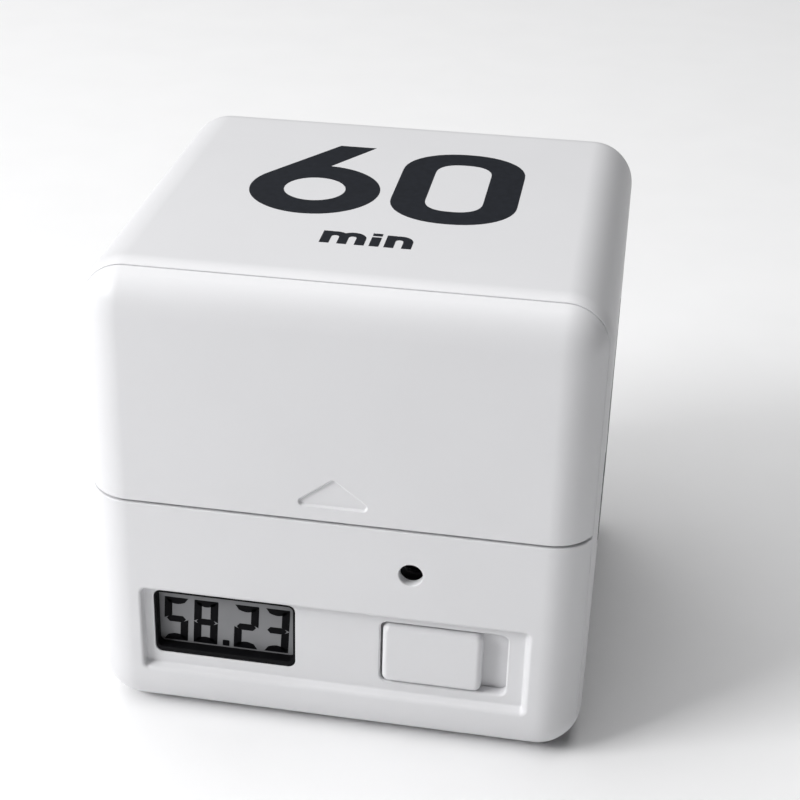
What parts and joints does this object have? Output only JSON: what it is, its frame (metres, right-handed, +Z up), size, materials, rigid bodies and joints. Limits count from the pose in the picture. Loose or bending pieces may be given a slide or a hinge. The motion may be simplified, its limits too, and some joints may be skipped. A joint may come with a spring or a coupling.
{
  "type": "cube countdown timer",
  "caption": "White cube timer with a small display, a slide switch and a sliding battery door; turning a number face up sets the minutes.",
  "frame": {"origin": "centre of the lowest face, on the surface the cube rests on", "axes": "+Z up, the front face with the display looks along -Y, +X to its right as the front is looked at"},
  "size_m": [0.0636, 0.061, 0.0635],
  "materials": {
    "white_shell": "satin white moulded plastic",
    "white_knob": "satin white moulded plastic",
    "tray_plastic": "moulded plastic, unpainted",
    "black_bezel": "fine matte",
    "black_plastic": "moulded",
    "display_glass": "polarised display glass",
    "reflector_film": "metallised film",
    "zebra_rubber": "layered silicone rubber",
    "plated_steel": "zinc plated",
    "nickel_steel": "nickel plated",
    "brown_laminate": "phenolic laminate",
    "circuit_board": "green solder mask",
    "ferrite": "sintered ferrite",
    "copper_wire": "enamelled copper winding",
    "foam": "closed-cell foam",
    "chip_resin": "cured resin drop",
    "capacitor_sleeve": "printed shrink sleeve",
    "chip_ceramic": "small chip parts with tinned ends",
    "gold_plate": "gold plated",
    "cell_sleeve": "plain printed cell sleeve",
    "red_lead": "PVC insulation",
    "black_lead": "PVC insulation"
  },
  "bodies": {
    "housing": {"main_shell": "white_shell", "front_panel": "white_shell", "battery_tray": "tray_plastic", "tray_screws": "plated_steel", "panel_screws": "plated_steel", "circuit_board": "circuit_board", "board_screws": "plated_steel", "lcd_bezel": "black_bezel", "lcd_holder": "black_plastic", "lcd_front_glass": "display_glass", "lcd_rear_glass": "display_glass", "lcd_reflector": "reflector_film", "zebra_strip": "zebra_rubber", "switch_case": "plated_steel", "switch_base": "brown_laminate", "buzzer_case": "black_plastic", "buzzer_base": "black_plastic", "buzzer_diaphragm": "plated_steel", "buzzer_magnet": "ferrite", "buzzer_coil": "copper_wire", "buzzer_gasket": "foam", "controller_chip": "chip_resin", "clock_crystal": "plated_steel", "capacitor": "capacitor_sleeve", "chip_parts": "chip_ceramic", "tilt_can_a": "gold_plate", "tilt_can_b": "gold_plate", "tilt_base_a": "black_plastic", "tilt_base_b": "black_plastic", "upper_cell": "cell_sleeve", "upper_cell_cap": "nickel_steel", "lower_cell": "cell_sleeve", "lower_cell_cap": "nickel_steel", "positive_contact": "nickel_steel", "negative_contact": "nickel_steel", "link_contact": "nickel_steel", "left_spring": "nickel_steel", "right_spring": "nickel_steel", "red_wire": "red_lead", "black_wire": "black_lead"},
    "battery_door": {"battery_door": "white_shell"},
    "power_switch": {"switch_knob": "white_knob", "switch_slider": "black_plastic"},
    "tilt_ball_a": {"tilt_ball_a": "gold_plate"},
    "tilt_ball_b": {"tilt_ball_b": "gold_plate"}
  },
  "joints": [
    {"name": "door_slide", "type": "slide", "parent": "housing", "child": "battery_door", "axis": [0, 0, 1], "range_m": [0, 0.032]},
    {"name": "switch_slide", "type": "slide", "parent": "housing", "child": "power_switch", "axis": [1, 0, 0], "range_m": [0, 0.003]},
    {"name": "ball_a_roll", "type": "slide", "parent": "housing", "child": "tilt_ball_a", "axis": [0.7071, 0, 0.7071], "range_m": [0, 0.003]},
    {"name": "ball_b_roll", "type": "slide", "parent": "housing", "child": "tilt_ball_b", "axis": [-0.7071, 0, 0.7071], "range_m": [0, 0.003]}
  ]
}
